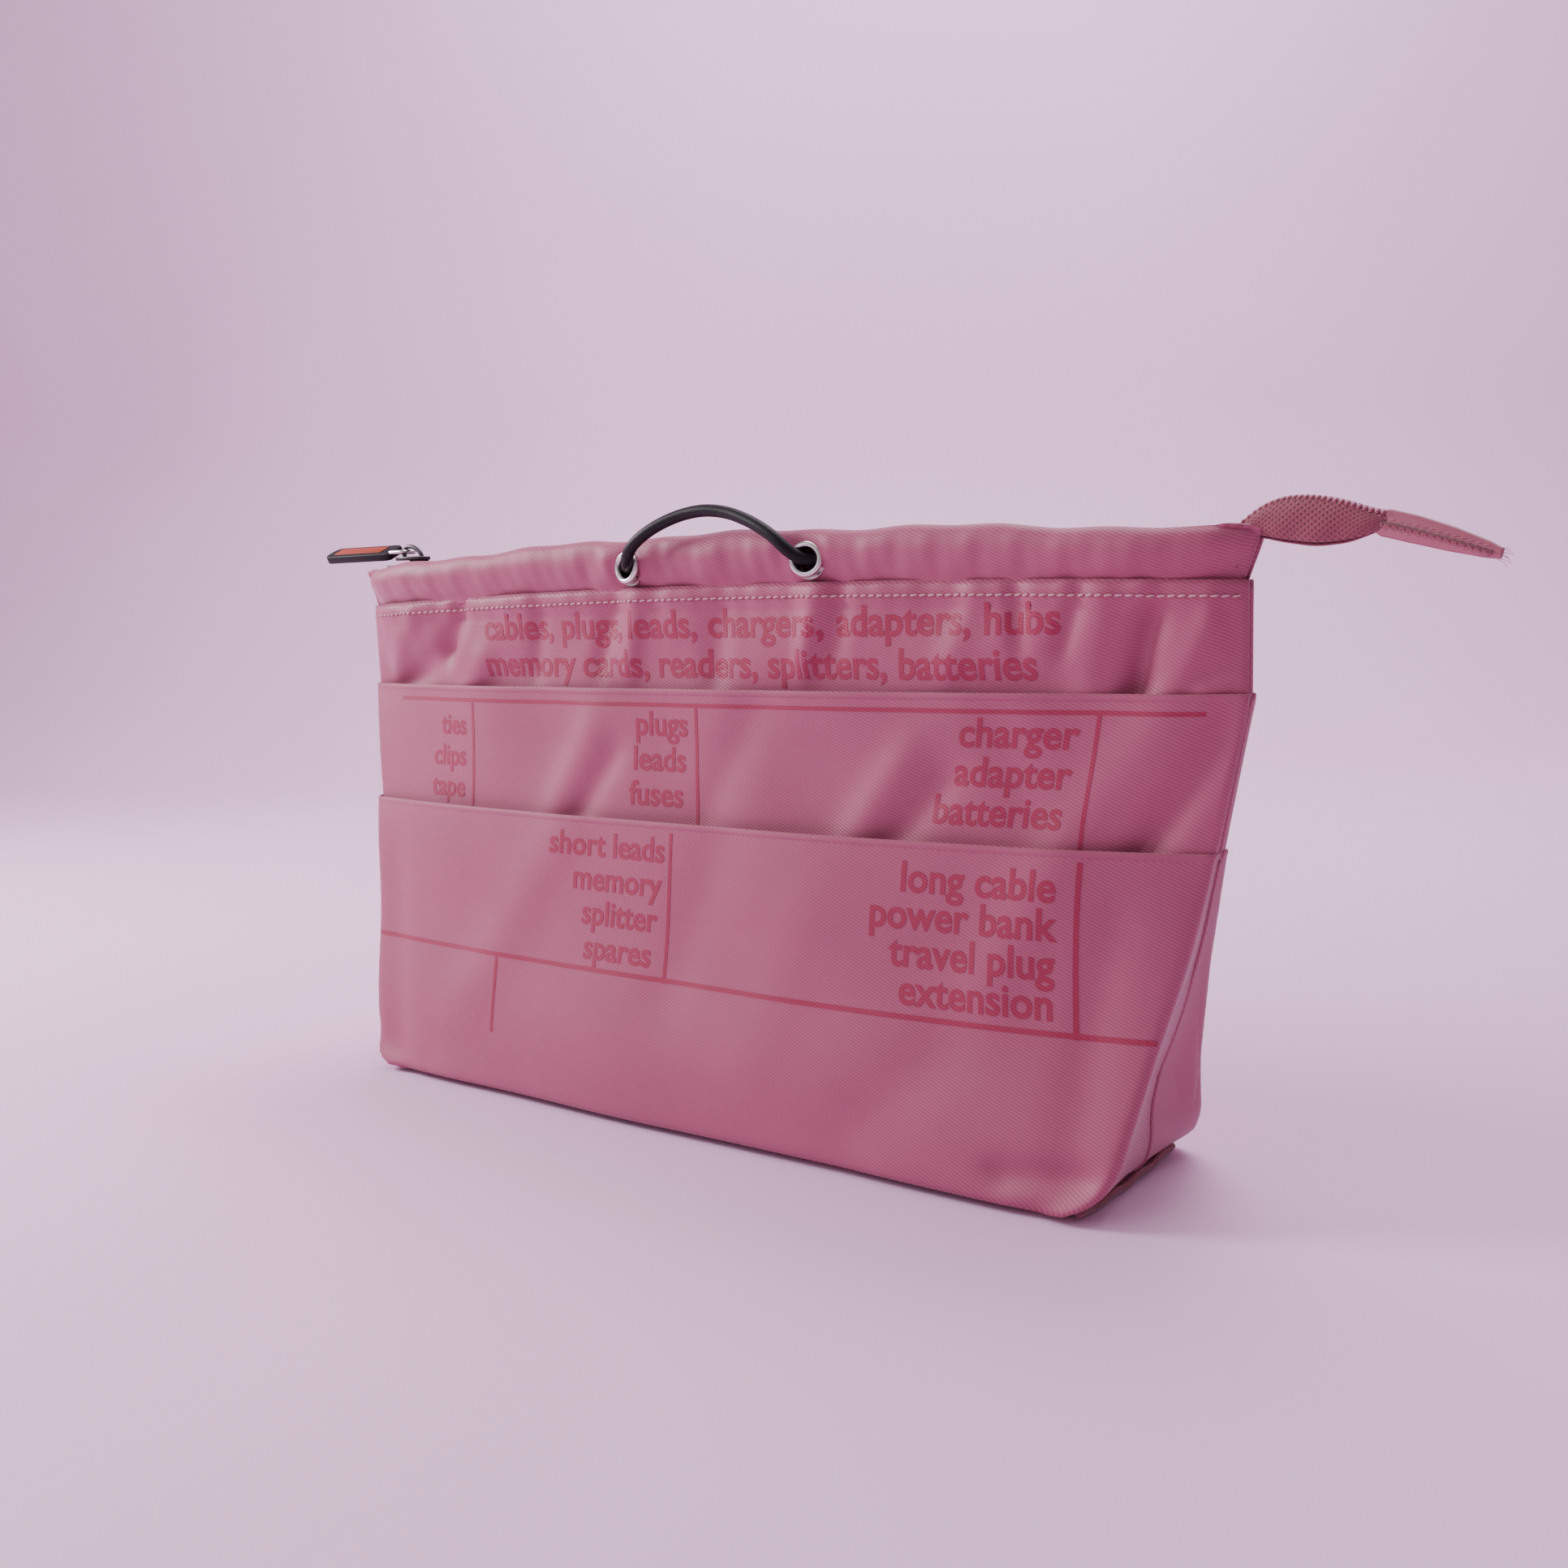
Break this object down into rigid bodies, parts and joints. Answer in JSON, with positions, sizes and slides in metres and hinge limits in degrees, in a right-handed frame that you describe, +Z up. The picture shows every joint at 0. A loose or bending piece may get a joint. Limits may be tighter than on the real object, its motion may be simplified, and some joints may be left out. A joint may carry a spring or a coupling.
{
  "type": "cable_organizer_pouch",
  "caption": "Pink nylon twill zip pouch for cables, boxed corners, slip pockets in tiers on both faces, black drawcord loop through nickel eyelets",
  "frame": {"origin": "middle of the underside of the base, on the surface it stands on", "axes": "+X runs along the pouch towards the free tail of the zip, +Y towards the back face and away from the drawcord loop, +Z up"},
  "size_m": [0.385, 0.0688, 0.177],
  "materials": {
    "pink_fabric": "nylon twill with a soft sheen",
    "binding": "woven binding and thread",
    "zip_tape": "woven zip tape",
    "zip_coil": "nylon coil",
    "tab_film": "folded translucent film",
    "nickel": "bright nickel plate",
    "slider_metal": "enamelled zinc",
    "black_cord": "braided elastic cord, satin",
    "black_rubber": "matte moulded rubber",
    "orange_insert": "matte moulded rubber",
    "stiffener": "plain sheet"
  },
  "bodies": {
    "pouch_body": {"base_panel": "pink_fabric", "base_board": "stiffener", "back_panel": "pink_fabric", "back_upper_pocket": "pink_fabric", "back_lower_pocket": "pink_fabric", "back_casing": "pink_fabric", "gusset_left": "pink_fabric", "gusset_right": "pink_fabric", "side_binding_left": "binding", "side_binding_right": "binding", "base_binding_left": "binding", "base_binding_right": "binding", "back_zip_tape": "zip_tape", "back_zip_teeth": "zip_coil", "back_zip_stop": "nickel"},
    "front_wall": {"front_panel": "pink_fabric", "front_upper_pocket": "pink_fabric", "front_lower_pocket": "pink_fabric", "front_casing": "pink_fabric", "eyelet_left": "nickel", "eyelet_right": "nickel", "eyelet_washer_left": "nickel", "eyelet_washer_right": "nickel", "drawcord": "black_cord", "cord_bartack_left": "binding", "cord_bartack_right": "binding", "front_zip_tape": "zip_tape", "front_zip_teeth": "zip_coil", "front_zip_stop": "nickel"},
    "zip_slider": {"slider": "slider_metal"},
    "puller": {"puller_link": "slider_metal", "puller_grip": "black_rubber", "puller_insert": "orange_insert"},
    "zip_tail": {"zip_tail_tape": "zip_tape", "zip_tail_teeth": "zip_coil"},
    "tail_end": {"end_tab": "tab_film", "end_tab_core": "zip_tape"}
  },
  "joints": [
    {"name": "mouth_open", "type": "hinge", "parent": "pouch_body", "child": "front_wall", "pos_m": [0, -0.034, 0.0009], "axis": [1, 0, 0], "range_deg": [0, 12]},
    {"name": "zip_slide", "type": "slide", "parent": "pouch_body", "child": "zip_slider", "axis": [1, 0, 0], "range_m": [0, 0.275]},
    {"name": "puller_flip", "type": "hinge", "parent": "zip_slider", "child": "puller", "pos_m": [-0.137, 0, 0.1696], "axis": [0, 1, 0], "range_deg": [0, 150]},
    {"name": "tail_bend", "type": "hinge", "parent": "pouch_body", "child": "zip_tail", "pos_m": [0.1556, 0, 0.1645], "axis": [0, 1, 0], "range_deg": [-30, 60]},
    {"name": "tab_bend", "type": "hinge", "parent": "zip_tail", "child": "tail_end", "pos_m": [0.1835, 0, 0.1636], "axis": [0, 1, 0], "range_deg": [-25, 25]}
  ],
  "couplings": [
    {"joint": "zip_slide", "follows": "mouth_open", "m_per_rad": 1.313}
  ]
}
